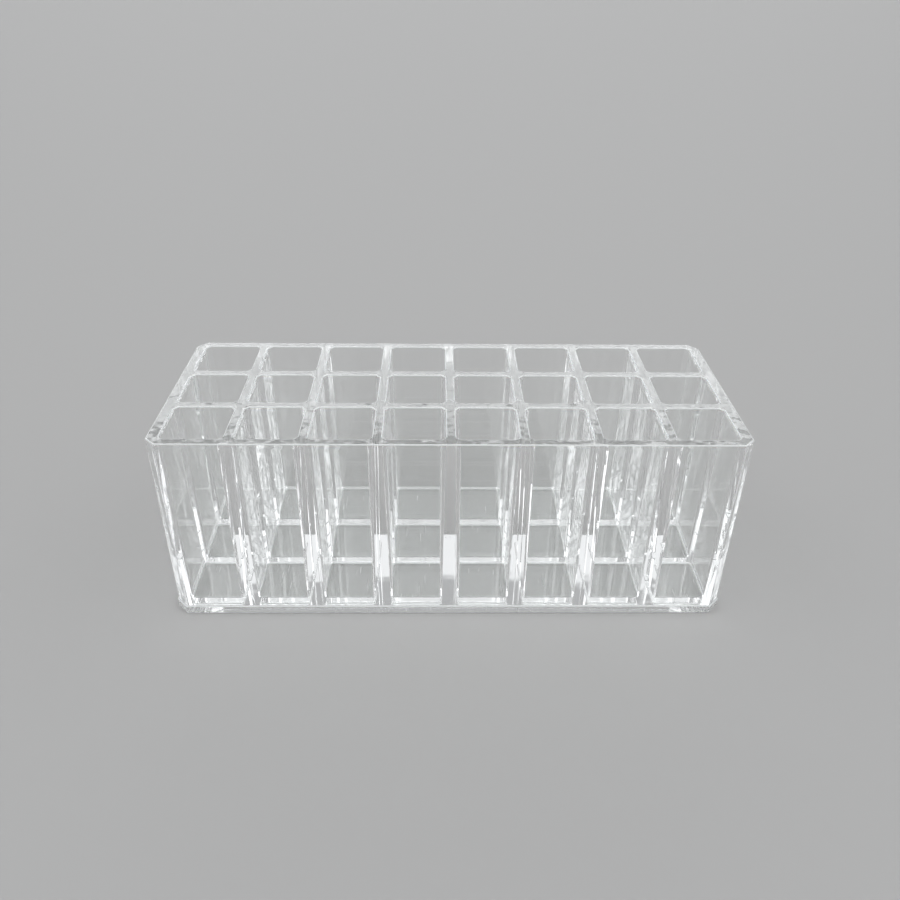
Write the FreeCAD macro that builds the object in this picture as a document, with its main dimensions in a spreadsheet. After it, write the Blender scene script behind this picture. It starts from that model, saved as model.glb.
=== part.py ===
import FreeCAD, Part
import os
import Sketcher
from FreeCAD import Placement, Rotation, Vector

# Clear vanity organizer: a moulded block of open cells, eight across and three deep, bonded to a foot plate.
# Origin: centre of the underside. X runs along the row of eight, Y from front to back, Z up. Millimetres.

doc = FreeCAD.newDocument("VanityOrganizer")

# Driving dimensions
sheet = doc.addObject("Spreadsheet::Sheet", "Dimensions")
DRIVING = (
    ("columns", 8, "cells from left to right"),
    ("rows", 3, "cells from front to back"),
    ("cell_pitch", 28, "middle of one cell to middle of the next, both ways"),
    ("cell_opening", 24.2, "cell width at the rim"),
    ("cell_corner_cut", 1.6, "cut corner of a cell at the rim, along each wall"),
    ("cell_draft", 0.9, "slope of the cell walls, degrees"),
    ("foot_bevel", 0.7, "bevel between cell walls and floor"),
    ("end_wall", 4.6, "left and right outer wall at the rim"),
    ("long_wall", 3.9, "front and back outer wall at the rim"),
    ("block_corner_cut", 4.2, "cut outer corner of the block at the rim, along each wall"),
    ("outside_draft", 0.25, "slope of the outside of the block, degrees"),
    ("total_height", 84, "table to rim"),
    ("plate_thickness", 4, "foot plate"),
    ("plate_overhang", 0.6, "how far the foot plate stands out from the block"),
    ("plate_corner_cut", 4.8, "cut corner of the foot plate, along each side"),
    ("plate_edge_round", 0.4, "radius of the foot plate's upper and lower edge"),
    ("floor_thickness", 1.5, "moulded floor of a cell, above the foot plate"),
)
for line, (alias, value, meaning) in enumerate(DRIVING, start=1):
    sheet.set(f"A{line}", meaning)
    sheet.set(f"B{line}", str(value))
    sheet.setAlias(f"B{line}", alias)
doc.recompute()

# Sizes that follow from the driving ones, as expressions
CELL_GRID_WIDTH = "(Dimensions.columns - 1) * Dimensions.cell_pitch"
CELL_GRID_DEPTH = "(Dimensions.rows - 1) * Dimensions.cell_pitch"
RIM_WIDTH = f"({CELL_GRID_WIDTH} + Dimensions.cell_opening + 2 * Dimensions.end_wall)"
RIM_DEPTH = f"({CELL_GRID_DEPTH} + Dimensions.cell_opening + 2 * Dimensions.long_wall)"
BLOCK_HEIGHT = "(Dimensions.total_height - Dimensions.plate_thickness)"
BLOCK_SPREAD = f"(2 * {BLOCK_HEIGHT} * tan(Dimensions.outside_draft * 1 deg))"
PLATE_MARGIN = f"({BLOCK_SPREAD} + 2 * Dimensions.plate_overhang)"
CELL_FLOOR = "(Dimensions.plate_thickness + Dimensions.floor_thickness)"
FOOT_LEVEL = f"({CELL_FLOOR} + Dimensions.foot_bevel)"
CELL_TAPER = f"(2 * (Dimensions.total_height - {FOOT_LEVEL}) * tan(Dimensions.cell_draft * 1 deg))"

# How much a 45 degree corner cut grows for each millimetre that its outline moves outwards
CUT_GROWTH = "(2 - sqrt(2))"

# Two levels closer than this are one level
LEVEL_TOLERANCE = 1e-4


def origin_plane(body, role):
    """The body's own origin plane with the given role."""
    return next(item for item in body.Origin.OriginFeatures if item.Role == role)


def cut_rectangle(body, name, width, depth, cut, level="0", centre_x="0", centre_y="0"):
    """A horizontal sketch of a rectangle with corners cut at 45 degrees. Sizes and place are expressions."""
    sketch = body.newObject("Sketcher::SketchObject", name)
    sketch.AttachmentSupport = [(origin_plane(body, "XY_Plane"), "")]
    sketch.MapMode = "FlatFace"
    sketch.setExpression("AttachmentOffset.Base.x", centre_x)
    sketch.setExpression("AttachmentOffset.Base.y", centre_y)
    sketch.setExpression("AttachmentOffset.Base.z", level)
    # A first shape of the right kind, which the constraints then bring to size. Line 0 is the front side,
    # line 1 the cut at its right end, and so on round
    half, inner = 10.0, 8.0
    corners = [(-inner, -half), (inner, -half), (half, -inner), (half, inner)]
    corners += [(-x, -y) for x, y in corners]
    for line, start in enumerate(corners):
        end = corners[(line + 1) % len(corners)]
        sketch.addGeometry(Part.LineSegment(Vector(*start, 0), Vector(*end, 0)), False)
    for line in range(len(corners)):
        sketch.addConstraint(Sketcher.Constraint("Coincident", line, 2, (line + 1) % len(corners), 1))
    for line in range(4):
        sketch.addConstraint(Sketcher.Constraint("Symmetric", line, 1, line + 4, 1, -1, 1))
    sketch.addConstraint(Sketcher.Constraint("Symmetric", 0, 1, 0, 2, -2))
    sketch.addConstraint(Sketcher.Constraint("Symmetric", 2, 1, 2, 2, -1))
    for label, kind, elements, expression in (
        ("width", "DistanceX", (6, 1, 2, 1, 2 * half), width),
        ("depth", "DistanceY", (0, 1, 4, 1, 2 * half), depth),
        ("cut_across", "DistanceX", (1, 1, 1, 2, half - inner), cut),
        ("cut_deep", "DistanceY", (1, 1, 1, 2, half - inner), cut),
    ):
        index = sketch.addConstraint(Sketcher.Constraint(kind, *elements))
        sketch.renameConstraint(index, label)
        sketch.setExpression(f"Constraints.{label}", expression)
    doc.recompute()
    return sketch


def loft(body, kind, name, outlines):
    """A loft with straight walls from the first outline through the others."""
    feature = body.newObject(f"PartDesign::{kind}", name)
    feature.Profile = outlines[0]
    feature.Sections = outlines[1:]
    feature.Ruled = True
    doc.recompute()
    return feature


def round_edges(body, base, name, level, radius):
    """Rounds every edge of the base feature that lies in the horizontal plane at this height."""
    in_plane = []
    for number, edge in enumerate(base.Shape.Edges, start=1):
        if max(abs(end.Z - level) for end in edge.Vertexes) < LEVEL_TOLERANCE:
            in_plane.append(f"Edge{number}")
    fillet = body.newObject("PartDesign::Fillet", name)
    fillet.Base = (base, in_plane)
    fillet.setExpression("Radius", radius)
    doc.recompute()
    return fillet


# Foot plate: a flat plate a little larger than the block, with cut corners and softened edges
base_plate = doc.addObject("PartDesign::Body", "base_plate")
base_plate.Label = "base_plate"
plate_outline = cut_rectangle(
    base_plate,
    "plate_outline",
    f"{RIM_WIDTH} + {PLATE_MARGIN}",
    f"{RIM_DEPTH} + {PLATE_MARGIN}",
    "Dimensions.plate_corner_cut",
)
plate_pad = base_plate.newObject("PartDesign::Pad", "plate_pad")
plate_pad.Profile = plate_outline
plate_pad.setExpression("Length", "Dimensions.plate_thickness")
doc.recompute()
lower_edge = round_edges(base_plate, plate_pad, "plate_lower_edge", 0.0, "Dimensions.plate_edge_round")
base_plate.Tip = round_edges(
    base_plate, lower_edge, "plate_upper_edge", sheet.plate_thickness, "Dimensions.plate_edge_round"
)

# Cell block, the outside: it widens a little from the rim down to the plate, and its corners are cut flat
compartment_block = doc.addObject("PartDesign::Body", "compartment_block")
compartment_block.Label = "compartment_block"
block_outlines = [
    cut_rectangle(
        compartment_block,
        name,
        f"{RIM_WIDTH} + {spread}",
        f"{RIM_DEPTH} + {spread}",
        f"Dimensions.block_corner_cut + {spread} / 2 * {CUT_GROWTH}",
        level,
    )
    for name, spread, level in (
        ("block_rim_outline", "0", "Dimensions.total_height"),
        ("block_foot_outline", BLOCK_SPREAD, "Dimensions.plate_thickness"),
    )
]
loft(compartment_block, "AdditiveLoft", "block_outside", block_outlines)

# One cell at the front left, cut by a core with one slope on its four walls and four corner flats, so that it
# narrows towards the floor. A bevel joins its walls to the floor
cell_outlines = [
    cut_rectangle(
        compartment_block,
        name,
        f"Dimensions.cell_opening - {narrowing}",
        f"Dimensions.cell_opening - {narrowing}",
        f"Dimensions.cell_corner_cut - {narrowing} / 2 * {CUT_GROWTH}",
        level,
        centre_x=f"-{CELL_GRID_WIDTH} / 2",
        centre_y=f"-{CELL_GRID_DEPTH} / 2",
    )
    for name, narrowing, level in (
        ("cell_mouth", "0", "Dimensions.total_height"),
        ("cell_foot", CELL_TAPER, FOOT_LEVEL),
        ("cell_floor", f"({CELL_TAPER} + 2 * Dimensions.foot_bevel)", CELL_FLOOR),
    )
]
first_cell = loft(compartment_block, "SubtractiveLoft", "first_cell", cell_outlines)

# The cell repeated along both directions
all_cells = compartment_block.newObject("PartDesign::MultiTransform", "all_cells")
all_cells.Originals = [first_cell]
repeats = []
for name, axis, length, count in (
    ("cells_across", "H_Axis", CELL_GRID_WIDTH, "Dimensions.columns"),
    ("cells_deep", "V_Axis", CELL_GRID_DEPTH, "Dimensions.rows"),
):
    repeat = compartment_block.newObject("PartDesign::LinearPattern", name)
    repeat.Direction = (cell_outlines[0], [axis])
    repeat.setExpression("Length", length)
    repeat.setExpression("Occurrences", count)
    repeats.append(repeat)
all_cells.Transformations = repeats
compartment_block.Tip = all_cells
doc.recompute()

# Nothing failed, and every piece is one sound solid
for item in doc.Objects:
    if {"Invalid", "Error"} & set(item.State):
        raise RuntimeError(f"{item.Label} failed: {item.State}")

os.makedirs("parts", exist_ok=True)
for piece in (base_plate, compartment_block):
    piece.Placement = Placement(Vector(0, 0, 0), Rotation())
    shape = piece.Shape
    if shape.isNull() or not shape.isValid() or len(shape.Solids) != 1:
        raise RuntimeError(f"{piece.Label} is not one valid solid")
    box = shape.optimalBoundingBox(False, False)
    size = " x ".join(f"{length:.2f}" for length in (box.XLength, box.YLength, box.ZLength))
    print(f"{piece.Label}: {size} mm, {shape.Volume / 1000:.1f} cm3")
    shape.exportStep(os.path.join("parts", f"{piece.Label}.step"))
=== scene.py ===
import math

import bpy
from mathutils import Matrix, Vector
from mathutils.geometry import tessellate_polygon


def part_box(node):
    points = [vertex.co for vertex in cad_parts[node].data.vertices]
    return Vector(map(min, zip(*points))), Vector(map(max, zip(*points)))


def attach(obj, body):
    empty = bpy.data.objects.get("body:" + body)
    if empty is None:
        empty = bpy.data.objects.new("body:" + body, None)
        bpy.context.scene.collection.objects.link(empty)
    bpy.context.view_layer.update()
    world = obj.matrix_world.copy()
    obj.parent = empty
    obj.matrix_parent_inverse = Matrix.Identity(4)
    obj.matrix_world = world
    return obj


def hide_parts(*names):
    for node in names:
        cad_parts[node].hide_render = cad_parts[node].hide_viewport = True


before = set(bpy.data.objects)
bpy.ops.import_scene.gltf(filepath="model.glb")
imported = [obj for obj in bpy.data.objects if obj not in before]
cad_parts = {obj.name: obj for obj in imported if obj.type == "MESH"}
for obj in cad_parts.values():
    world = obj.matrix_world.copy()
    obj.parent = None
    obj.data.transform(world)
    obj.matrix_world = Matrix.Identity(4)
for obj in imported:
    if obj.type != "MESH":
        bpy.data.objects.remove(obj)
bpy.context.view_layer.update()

# Camera
# A hand-held view from in front and above, a little left of the middle, solved from the grid of cells.
CAMERA_PLACE = (-0.0055, -0.3021, 0.2462)
LOOKS_DOWN = math.radians(32.50)
LOOKS_RIGHT = math.radians(1.10)
CAMERA_TILT = math.radians(0.74)
PICTURE_SIDE = 900
FOCAL_PIXELS = 820.1

camera = bpy.data.objects.new("camera", bpy.data.cameras.new("camera"))
camera.data.sensor_width = 36.0
camera.data.lens = camera.data.sensor_width * FOCAL_PIXELS / PICTURE_SIDE
camera.data.clip_start = 0.01
camera.data.clip_end = 60.0
camera.matrix_world = (
    Matrix.Translation(CAMERA_PLACE)
    @ Matrix.Rotation(-LOOKS_RIGHT, 4, "Z")
    @ Matrix.Rotation(math.pi / 2 - LOOKS_DOWN, 4, "X")
    @ Matrix.Rotation(CAMERA_TILT, 4, "Z")
)
bpy.context.scene.collection.objects.link(camera)
bpy.context.scene.camera = camera

# Compartment block
# One clear moulding: outer walls, dividers and floors in a single shot of polystyrene. Polished steel cores
# formed the cells, so they narrow towards the floor, and all upright corners are cut flat. It is joined to
# the plate along the edge only, and a film of air stays between the two faces.
MM = 0.001
COLUMNS, ROWS = 8, 3
CELL_PITCH = 28.0 * MM
CELL_OPENING = 24.2 * MM
CELL_CORNER_CUT = 1.6 * MM
CELL_DRAFT = math.radians(0.9)
BLOCK_CORNER_CUT = 4.2 * MM
OUTSIDE_DRAFT = math.radians(0.25)
FLOOR_THICKNESS = 1.5 * MM
FLOOR_ROUND = 0.6 * MM
RIM_ROUND = 0.4 * MM
UPRIGHT_ROUND = 0.25 * MM
UPRIGHT_STEPS = 3
ROUND_STEPS = 5
CORNER_TURN = math.radians(45)
# A 45 degree cut grows by this much for each unit that its outline moves outwards
CUT_GROWTH = 2 - math.sqrt(2)
AIR_FILM = 0.01 * MM
# The second finish is the rounds along the edges, whose milky white is a painted highlight
POLISHED_FINISH, MILKY_HIGHLIGHT_FINISH, DULL_FINISH = 0, 1, 2

block_low, block_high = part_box("compartment_block")
rim_level = block_high.z
block_foot = block_low.z
cell_floor = block_foot + FLOOR_THICKNESS
outside_spread = (rim_level - block_foot) * math.tan(OUTSIDE_DRAFT)
rim_width = block_high.x - block_low.x - 2 * outside_spread
rim_depth = block_high.y - block_low.y - 2 * outside_spread
UP = Vector((0, 0, 1))


def cut_ring(width, depth, cut, middle=(0.0, 0.0)):
    """Points round a rectangle with cut corners and soft uprights, counter-clockwise, with directions."""
    x, y = width / 2, depth / 2
    uprights = [(x - cut, -y), (x, cut - y), (x, y - cut), (x - cut, y)]
    uprights += [(-across, -deep) for across, deep in uprights]
    reach = UPRIGHT_ROUND / math.cos(CORNER_TURN / 2)
    ring = []
    for upright, (across, deep) in enumerate(uprights):
        turn = CORNER_TURN * upright - math.pi / 2
        inwards = turn + CORNER_TURN / 2 + math.pi
        centre = Vector((middle[0] + across, middle[1] + deep, 0))
        centre += reach * Vector((math.cos(inwards), math.sin(inwards), 0))
        for step in range(UPRIGHT_STEPS + 1):
            angle = turn + CORNER_TURN * step / UPRIGHT_STEPS
            outward = Vector((math.cos(angle), math.sin(angle), 0))
            ring.append((centre + UPRIGHT_ROUND * outward, outward))
    return ring


class Skin:
    """Collects the faces of one closed moulding, with the true surface direction at every face corner.

    Its rings follow each other up an outside and down a cell, so that the faces look out of the plastic.
    """

    def __init__(self):
        self.points, self.faces, self.directions, self.finishes = [], [], [], []

    def add_ring(self, width, depth, cut, level, tilt, facing, middle=(0.0, 0.0)):
        """A ring of points at one height; facing is 1 for an outside and -1 for the inside of a cell."""
        start = len(self.points)
        turned = []
        for place, outward in cut_ring(width, depth, cut, middle):
            self.points.append(place + level * UP)
            turned.append(facing * math.cos(tilt) * outward + math.sin(tilt) * UP)
        return start, turned

    def add_face(self, corners, directions, finish=POLISHED_FINISH):
        self.faces.append(corners)
        self.directions.extend(directions)
        self.finishes.append(finish)

    def join(self, ring, following, finish=POLISHED_FINISH, upright_finish=None):
        """A band of faces from one ring to the one after it; its uprights can have their own finish."""
        (a, turned_a), (b, turned_b) = ring, following
        count = len(turned_a)
        for k in range(count):
            n = (k + 1) % count
            corners = (a + k, a + n, b + n, b + k)
            directions = (turned_a[k], turned_a[n], turned_b[n], turned_b[k])
            on_upright = upright_finish is not None and k % (UPRIGHT_STEPS + 1) < UPRIGHT_STEPS
            self.add_face(corners, directions, upright_finish if on_upright else finish)

    def join_all(self, rings, flat_band, first_finish, last_finish, upright_finish=None):
        """A band between each ring and the next: rounds of one finish, the flat, rounds of the other."""
        for band, (ring, following) in enumerate(zip(rings, rings[1:])):
            if band == flat_band:
                self.join(ring, following, upright_finish=upright_finish)
            else:
                self.join(ring, following, first_finish if band < flat_band else last_finish)

    def cap(self, ring, direction):
        """One flat, polished face that fills a ring, looking up or down."""
        start, turned = ring
        corners = tuple(range(start, start + len(turned)))
        self.add_face(corners[:: 1 if direction.z > 0 else -1], [direction] * len(turned))

    def make(self, name, materials):
        """The piece itself, with one material for each finish in turn."""
        mesh = bpy.data.meshes.new(name)
        mesh.from_pydata(self.points, [], self.faces)
        for material in materials:
            mesh.materials.append(material)
        for face, finish in zip(mesh.polygons, self.finishes):
            face.material_index = finish
            face.use_smooth = True
        mesh.normals_split_custom_set([tuple(direction) for direction in self.directions])
        piece = bpy.data.objects.new(name, mesh)
        bpy.context.scene.collection.objects.link(piece)
        return piece


def arc(first, last):
    """Evenly spaced angles from first to last, for the faces of one round."""
    return [first + (last - first) * step / ROUND_STEPS for step in range(ROUND_STEPS + 1)]


block = Skin()
# The outside from the foot up: how far in from the rim's outline, at which level, facing how far up
outside = [(-outside_spread, block_foot + AIR_FILM, OUTSIDE_DRAFT)]
rim_centre = RIM_ROUND / math.cos(OUTSIDE_DRAFT) - RIM_ROUND * math.tan(OUTSIDE_DRAFT)
for tilt in arc(OUTSIDE_DRAFT, math.pi / 2):
    inset = rim_centre - RIM_ROUND * math.cos(tilt)
    outside.append((inset, rim_level - RIM_ROUND + RIM_ROUND * math.sin(tilt), tilt))
outer_rings = []
for inset, level, tilt in outside:
    width, depth = rim_width - 2 * inset, rim_depth - 2 * inset
    outer_rings.append(block.add_ring(width, depth, BLOCK_CORNER_CUT - inset * CUT_GROWTH, level, tilt, 1))
block.join_all(outer_rings, 0, MILKY_HIGHLIGHT_FINISH, MILKY_HIGHLIGHT_FINISH, MILKY_HIGHLIGHT_FINISH)

# One cell from the mouth down, in the same terms
inside = []
mouth_centre = RIM_ROUND * math.tan(CELL_DRAFT) - RIM_ROUND / math.cos(CELL_DRAFT)
for tilt in arc(math.pi / 2, CELL_DRAFT):
    inset = mouth_centre + RIM_ROUND * math.cos(tilt)
    inside.append((inset, rim_level - RIM_ROUND + RIM_ROUND * math.sin(tilt), tilt))
wall_height = rim_level - cell_floor - FLOOR_ROUND
foot_centre = wall_height * math.tan(CELL_DRAFT) + FLOOR_ROUND / math.cos(CELL_DRAFT)
for tilt in arc(CELL_DRAFT, math.pi / 2):
    inset = foot_centre - FLOOR_ROUND * math.cos(tilt)
    inside.append((inset, cell_floor + FLOOR_ROUND - FLOOR_ROUND * math.sin(tilt), tilt))
land_rings = [outer_rings[-1]]
for row in range(ROWS):
    for column in range(COLUMNS):
        middle = ((column - (COLUMNS - 1) / 2) * CELL_PITCH, (row - (ROWS - 1) / 2) * CELL_PITCH)
        rings = []
        for inset, level, tilt in inside:
            side, cut = CELL_OPENING - 2 * inset, CELL_CORNER_CUT - inset * CUT_GROWTH
            rings.append(block.add_ring(side, side, cut, level, tilt, -1, middle))
        block.join_all(rings, ROUND_STEPS, MILKY_HIGHLIGHT_FINISH, DULL_FINISH)
        block.cap(rings[-1], UP)
        land_rings.append(rings[0])

# The flat land along the rim, with the cells as holes in it
land_outlines = [[start + k for k in range(len(turned))] for start, turned in land_rings]
land_corners = [corner for outline in land_outlines for corner in outline]
for triangle in tessellate_polygon([[block.points[k] for k in outline] for outline in land_outlines]):
    block.add_face(tuple(land_corners[k] for k in triangle), [UP] * 3)
block.cap(outer_rings[0], -UP)


def new_group(name, inputs, outputs):
    """An empty shader node group with named value inputs and outputs."""
    group = bpy.data.node_groups.new(name, "ShaderNodeTree")
    for label, value in inputs.items():
        socket = group.interface.new_socket(label, in_out="INPUT", socket_type="NodeSocketFloat")
        socket.default_value = value
    for label in outputs:
        group.interface.new_socket(label, in_out="OUTPUT", socket_type="NodeSocketFloat")
    return group, group.nodes.new("NodeGroupInput"), group.nodes.new("NodeGroupOutput")


def maths(tree, operation, first, second=0.0):
    """A Math node; each input is a number or another node's output."""
    node = tree.nodes.new("ShaderNodeMath")
    node.operation = operation
    for socket, value in zip(node.inputs, (first, second)):
        if isinstance(value, (int, float)):
            socket.default_value = value
        else:
            tree.links.new(value, socket)
    return node.outputs["Value"]


def fade(tree, value, start, end):
    """1 where the value is at start and beyond, falling smoothly to 0 at end."""
    node = tree.nodes.new("ShaderNodeMapRange")
    node.interpolation_type = "SMOOTHSTEP"
    tree.links.new(value, node.inputs["Value"])
    for label, number in (("From Min", start), ("From Max", end), ("To Min", 1.0), ("To Max", 0.0)):
        node.inputs[label].default_value = number
    return node.outputs["Result"]


def noise(tree, places, scale, detail=2.0, roughness=0.5):
    """A noise value over the given places; scale is a number or a socket."""
    node = tree.nodes.new("ShaderNodeTexNoise")
    tree.links.new(places, node.inputs["Vector"])
    if isinstance(scale, (int, float)):
        node.inputs["Scale"].default_value = scale
    else:
        tree.links.new(scale, node.inputs["Scale"])
    node.inputs["Detail"].default_value = detail
    node.inputs["Roughness"].default_value = roughness
    return node.outputs["Fac"]


def stretched_places(tree, turn, stretch):
    """Object positions, turned about the vertical and squeezed for marks that run one way."""
    places = tree.nodes.new("ShaderNodeTexCoord")
    mapping = tree.nodes.new("ShaderNodeMapping")
    tree.links.new(places.outputs["Object"], mapping.inputs["Vector"])
    mapping.inputs["Rotation"].default_value = (0.0, 0.0, turn)
    mapping.inputs["Scale"].default_value = stretch
    return mapping.outputs["Vector"]


# Waves per metre up a wall, as a share of those along it
UPWARD_STRETCH = 0.45
RIPPLE_TURN = 0.4
RIPPLES_PER_METRE = 160.0
# How far the scuffs of each run are turned, and how many would fit into a metre across, along and up
SCUFF_RUNS = ((0.06, (900.0, 60.0, 60.0)), (-0.13, (1100.0, 75.0, 60.0)))
RUBBED_PATCHES_PER_METRE = 130.0
# The noise values at which a scuff or a rubbed patch is whole, and at which it ends
SCUFF_EDGE = (0.84, 0.77)
RUBBED_EDGE = (0.66, 0.52)


def mould_flow_group():
    """Slow waves from melt that cooled unevenly, and ripples on a face that was left as it filled."""
    group, given, result = new_group("mould_flow", {"Waves per metre": 60.0, "Ripples": 0.0}, ("Height",))
    drawn_up = stretched_places(group, 0.0, (1.0, 1.0, UPWARD_STRETCH))
    broad = noise(group, drawn_up, given.outputs["Waves per metre"], 1.0)
    fine = noise(group, stretched_places(group, RIPPLE_TURN, (1.0, 1.0, 1.0)), RIPPLES_PER_METRE, 1.0)
    rippled = maths(group, "ADD", broad, maths(group, "MULTIPLY", fine, given.outputs["Ripples"]))
    group.links.new(rippled, result.inputs["Height"])
    return group


def handling_marks_group():
    """Short scuffs from front to back, left by what is dropped into the cells, and rubbed patches."""
    group, given, result = new_group("handling_marks", {"Amount": 1.0}, ("Scuffs", "Rubs"))
    amount = given.outputs["Amount"]
    runs = []
    for turn, stretch in SCUFF_RUNS:
        streaks = noise(group, stretched_places(group, turn, stretch), 1.0, 0.0)
        runs.append(maths(group, "MULTIPLY", fade(group, streaks, *SCUFF_EDGE), amount))
    group.links.new(maths(group, "MAXIMUM", *runs), result.inputs["Scuffs"])
    everywhere = stretched_places(group, 0.0, (1.0, 1.0, 1.0))
    patches = noise(group, everywhere, RUBBED_PATCHES_PER_METRE, 3.0, 0.65)
    rubbed = maths(group, "MULTIPLY", fade(group, patches, *RUBBED_EDGE), amount)
    group.links.new(rubbed, result.inputs["Rubs"])
    return group


mould_flow, handling_marks = mould_flow_group(), handling_marks_group()
PLASTIC_TINT = (0.992, 0.996, 0.994, 1.0)
PLASTIC_INDEX = 1.59
POLISHED_ROUGHNESS = 0.012
RUBBED_ROUGHNESS = 0.07
SCUFFED_ROUGHNESS = 0.30
# The milky white of the edge rounds is a painted highlight for the bright lines that lamps draw along the
# edges
MILKY_HIGHLIGHT_COLOUR = (0.95, 0.965, 0.96, 1.0)
MATT_ROUGHNESS = 0.30
MATT_UNEVENNESS = 0.25
# The share of a level's reach over which its marks show in full
FULL_SHARE = 0.3


def near_levels(tree, levels):
    """1 at the given heights, falling to 0 at each one's reach, times how strongly it counts."""
    place = tree.nodes.new("ShaderNodeNewGeometry")
    height = tree.nodes.new("ShaderNodeSeparateXYZ")
    tree.links.new(place.outputs["Position"], height.inputs["Vector"])
    shown = 0.0
    for level, reach, strength in levels:
        distance = maths(tree, "ABSOLUTE", maths(tree, "SUBTRACT", height.outputs["Z"], level))
        near = fade(tree, distance, FULL_SHARE * reach, reach)
        shown = maths(tree, "MAXIMUM", maths(tree, "MULTIPLY", near, strength), shown)
    return shown


def clear_plastic(name, waves_per_metre, wave_depth, marked_levels, rippled_levels=()):
    """Clear moulded plastic; each level is a height, with how far and how strongly marks or ripples show."""
    material = bpy.data.materials.new(name)
    material.use_nodes = True
    tree = material.node_tree
    shader = tree.nodes["Principled BSDF"]
    shader.inputs["Base Color"].default_value = PLASTIC_TINT
    shader.inputs["IOR"].default_value = PLASTIC_INDEX
    shader.inputs["Transmission Weight"].default_value = 1.0

    marks = tree.nodes.new("ShaderNodeGroup")
    marks.node_tree = handling_marks
    tree.links.new(near_levels(tree, marked_levels), marks.inputs["Amount"])
    worn = POLISHED_ROUGHNESS
    for mark, effect in (("Rubs", RUBBED_ROUGHNESS), ("Scuffs", SCUFFED_ROUGHNESS)):
        worn = maths(tree, "MAXIMUM", maths(tree, "MULTIPLY", marks.outputs[mark], effect), worn)
    tree.links.new(worn, shader.inputs["Roughness"])

    flow = tree.nodes.new("ShaderNodeGroup")
    flow.node_tree = mould_flow
    flow.inputs["Waves per metre"].default_value = waves_per_metre
    if rippled_levels:
        tree.links.new(near_levels(tree, rippled_levels), flow.inputs["Ripples"])
    waves = tree.nodes.new("ShaderNodeBump")
    waves.inputs["Strength"].default_value = 1.0
    waves.inputs["Distance"].default_value = wave_depth
    tree.links.new(flow.outputs["Height"], waves.inputs["Height"])
    tree.links.new(waves.outputs["Normal"], shader.inputs["Normal"])
    return material


def matt_edge(name, clarity):
    """Rough rounds along edges, partly milky white as a painted highlight for the bright edge lines; clarity
    is the share not milky.
    """
    material = bpy.data.materials.new(name)
    material.use_nodes = True
    tree = material.node_tree
    shader = tree.nodes["Principled BSDF"]
    shader.inputs["Base Color"].default_value = MILKY_HIGHLIGHT_COLOUR
    shader.inputs["IOR"].default_value = PLASTIC_INDEX
    shader.inputs["Transmission Weight"].default_value = clarity
    marks = tree.nodes.new("ShaderNodeGroup")
    marks.node_tree = handling_marks
    uneven = maths(tree, "MULTIPLY", marks.outputs["Rubs"], MATT_UNEVENNESS)
    tree.links.new(maths(tree, "ADD", uneven, MATT_ROUGHNESS), shader.inputs["Roughness"])
    return material


# The rim rounds are mostly milky white, a painted highlight; the rounds at the cell floors stay clear and
# only rough
milky_rounds_painted_highlight, dull_edge = matt_edge("milky_rounds_painted_highlight", clarity=0.25), matt_edge("dull_edge", clarity=1.0)
clear_block = clear_plastic(
    "clear_block",
    waves_per_metre=70.0,
    wave_depth=0.032 * MM,
    marked_levels=((cell_floor, 1.0 * MM, 1.0), (rim_level, 0.6 * MM, 0.45)),
    rippled_levels=((rim_level, 4.0 * MM, 5.0),),
)
block_piece = block.make("compartment_block_moulding", [clear_block, milky_rounds_painted_highlight, dull_edge])
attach(block_piece, "root")
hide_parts("compartment_block")

# Base plate
# A flat clear plate, a little larger than the block, moulded from the same polystyrene, with cut corners and
# softened edges. It closes the underside and is what the organizer stands on.
PLATE_CORNER_CUT = 4.8 * MM
PLATE_EDGE_ROUND = 0.4 * MM

plate_low, plate_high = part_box("base_plate")
plate_width, plate_depth = plate_high.x - plate_low.x, plate_high.y - plate_low.y
plate = Skin()
# The plate's edge from below over its upright side to its upper face, in the same terms as the block
edge = []
for tilt in arc(-math.pi / 2, 0.0):
    inset = PLATE_EDGE_ROUND * (1 - math.cos(tilt))
    edge.append((inset, plate_low.z + PLATE_EDGE_ROUND * (1 + math.sin(tilt)), tilt))
for tilt in arc(0.0, math.pi / 2):
    inset = PLATE_EDGE_ROUND * (1 - math.cos(tilt))
    edge.append((inset, plate_high.z - PLATE_EDGE_ROUND * (1 - math.sin(tilt)), tilt))
plate_rings = []
for inset, level, tilt in edge:
    width, depth = plate_width - 2 * inset, plate_depth - 2 * inset
    plate_rings.append(plate.add_ring(width, depth, PLATE_CORNER_CUT - inset * CUT_GROWTH, level, tilt, 1))
plate.join_all(plate_rings, ROUND_STEPS, MILKY_HIGHLIGHT_FINISH, MILKY_HIGHLIGHT_FINISH)
footprint = plate.add_ring(
    rim_width + 2 * outside_spread,
    rim_depth + 2 * outside_spread,
    BLOCK_CORNER_CUT + outside_spread * CUT_GROWTH,
    plate_high.z,
    math.pi / 2,
    1,
)
plate.join(plate_rings[-1], footprint)
plate.cap(footprint, UP)
plate.cap(plate_rings[0], -UP)

clear_plate = clear_plastic(
    "clear_plate",
    waves_per_metre=45.0,
    wave_depth=0.025 * MM,
    marked_levels=((plate_low.z, 0.8 * MM, 1.0),),
)
plate_piece = plate.make("base_plate_moulding", [clear_plate, milky_rounds_painted_highlight])
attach(plate_piece, "root")
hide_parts("base_plate")

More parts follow.
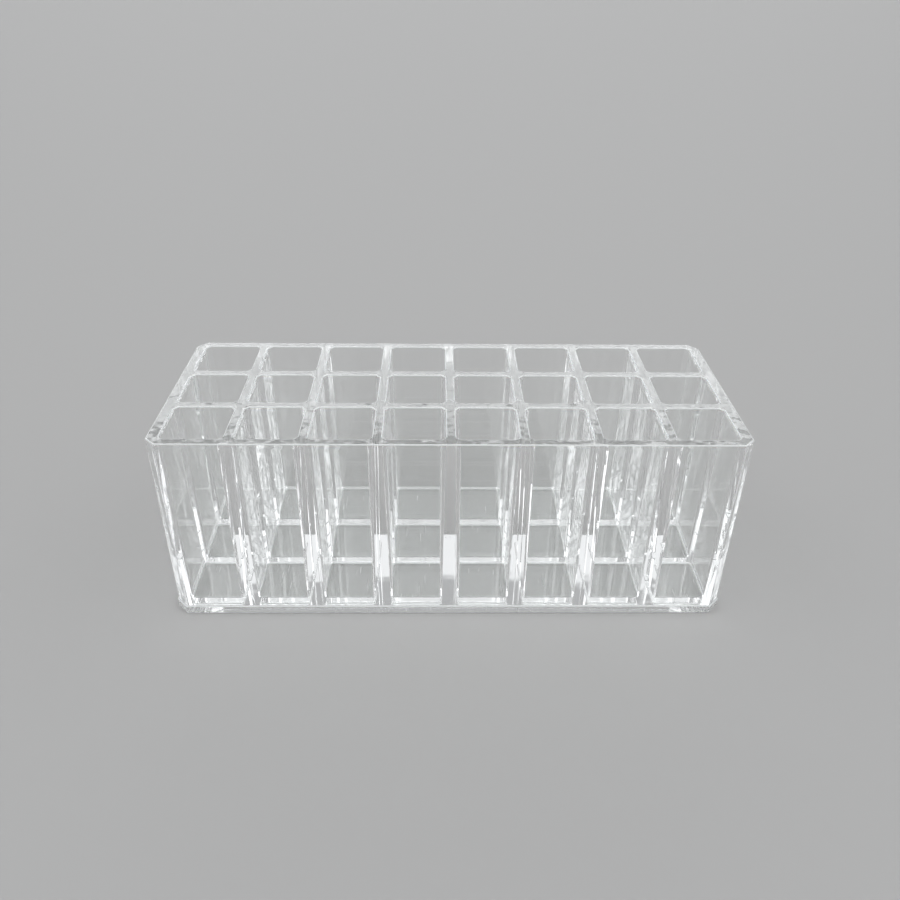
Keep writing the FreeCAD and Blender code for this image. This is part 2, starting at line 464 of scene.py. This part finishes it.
# Floor
# A plain pale studio floor. The organizer rests on it with a hair of air under the plate, as real things do,
# so that light turns back inside the clear plastic at its underside.
FLOOR_HALF = 8.0
AIR_GAP = 0.1 * MM
FLOOR_COLOUR = (0.42, 0.415, 0.41, 1.0)
FLOOR_ROUGHNESS = 0.6
floor_mesh = bpy.data.meshes.new("floor")
floor_corners = [(x * FLOOR_HALF, y * FLOOR_HALF, -AIR_GAP) for x, y in ((-1, -1), (1, -1), (1, 1), (-1, 1))]
floor_mesh.from_pydata(floor_corners, [], [(0, 1, 2, 3)])
floor = bpy.data.objects.new("floor", floor_mesh)
bpy.context.scene.collection.objects.link(floor)
floor_paint = bpy.data.materials.new("floor_paint")
floor_paint.use_nodes = True
floor_shader = floor_paint.node_tree.nodes["Principled BSDF"]
floor_shader.inputs["Base Color"].default_value = FLOOR_COLOUR
floor_shader.inputs["Roughness"].default_value = FLOOR_ROUGHNESS
floor_mesh.materials.append(floor_paint)

# Light
# A plain pale room with soft panels that the camera doesn't see directly. The low one behind the object is
# what its rim shows, and the narrow one above it is what its floor lines and the feet of its dividers show.
# One on either side brightens the uprights, and one overhead in front whitens the matt rounds.
ROOM_COLOUR = (0.97, 0.985, 1.0, 1.0)
ROOM_LEVEL = 0.45
# How far a panel fades on either side of its edge, as a share of its half size, and how far a direction has
# to point towards a panel to meet it
PANEL_EDGE = 0.15
EDGE_ON = 0.01
# Heading in degrees right of +Y, height in degrees, half width and half height at unit distance, added level
PANELS = (
    (0.0, 26.5, 0.47, 0.08, 1.9),
    (0.0, 39.2, 0.60, 0.038, 0.5),
    (-90.0, 40.0, 0.58, 0.47, 1.0),
    (90.0, 40.0, 0.58, 0.47, 1.0),
    (180.0, 62.0, 0.70, 0.35, 1.1),
)
world = bpy.data.worlds.new("studio")
bpy.context.scene.world = world
world.use_nodes = True
room = world.node_tree
background = room.nodes["Background"]
background.inputs["Color"].default_value = ROOM_COLOUR
sky = room.nodes.new("ShaderNodeTexCoord").outputs["Generated"]


def along(direction):
    """How far the viewed direction of the room points along the given one."""
    node = room.nodes.new("ShaderNodeVectorMath")
    node.operation = "DOT_PRODUCT"
    room.links.new(sky, node.inputs[0])
    node.inputs[1].default_value = direction
    return node.outputs["Value"]


def soft_panel(heading, height, half_width, half_height, level):
    """The light that a flat panel far away adds to the room, with soft edges."""
    heading, height = math.radians(heading), math.radians(height)
    across = Vector((math.cos(heading), -math.sin(heading), 0.0))
    level_with_floor = Vector((math.sin(heading), math.cos(heading), 0.0))
    facing = math.cos(height) * level_with_floor + math.sin(height) * UP
    ahead = maths(room, "MAXIMUM", along(facing), EDGE_ON)
    lit = maths(room, "GREATER_THAN", ahead, EDGE_ON)
    for direction, half in ((across, half_width), (across.cross(facing), half_height)):
        offset = maths(room, "ABSOLUTE", maths(room, "DIVIDE", along(direction), ahead))
        within = fade(room, offset, half * (1 - PANEL_EDGE), half * (1 + PANEL_EDGE))
        lit = maths(room, "MULTIPLY", lit, within)
    return maths(room, "MULTIPLY", lit, level)


panels = 0.0
for panel in PANELS:
    panels = maths(room, "ADD", soft_panel(*panel), panels)
seen_by_camera = room.nodes.new("ShaderNodeLightPath").outputs["Is Camera Ray"]
panels = maths(room, "MULTIPLY", panels, maths(room, "SUBTRACT", 1.0, seen_by_camera))
room.links.new(maths(room, "ADD", panels, ROOM_LEVEL), background.inputs["Strength"])

scene = bpy.context.scene
scene.view_settings.view_transform = "Standard"
# Light crosses dozens of clear faces on its way through the block, and small bright spots in it stay sharp
LIGHT_BOUNCES = 128
scene.cycles.max_bounces = LIGHT_BOUNCES
scene.cycles.transmission_bounces = LIGHT_BOUNCES
scene.cycles.glossy_bounces = LIGHT_BOUNCES
scene.cycles.blur_glossy = 0.0
